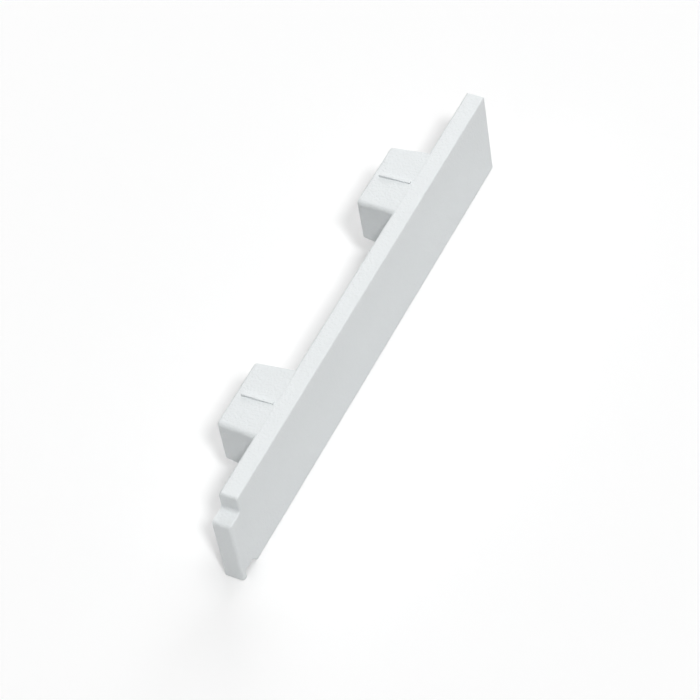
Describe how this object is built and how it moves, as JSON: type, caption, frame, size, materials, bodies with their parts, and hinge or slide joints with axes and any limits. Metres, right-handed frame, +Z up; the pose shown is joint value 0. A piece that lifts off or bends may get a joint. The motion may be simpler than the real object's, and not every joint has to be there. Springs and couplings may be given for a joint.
{
  "type": "profile end cap",
  "caption": "Moulded end cap: a thin flat plate with a stepped end, and drafted plugs behind it that push into the open end of a slim profile.",
  "frame": {"origin": "middle of the plate's seating face, between the plugs", "axes": "+X along the plate from the stepped end to the square end, +Y out of the seating face into the profile, +Z up from the long bottom edge"},
  "size_m": [0.06, 0.0066, 0.0115],
  "materials": {
    "body": "matte white, very finely textured"
  },
  "bodies": {
    "root": {"end_cap": "body"}
  },
  "joints": []
}
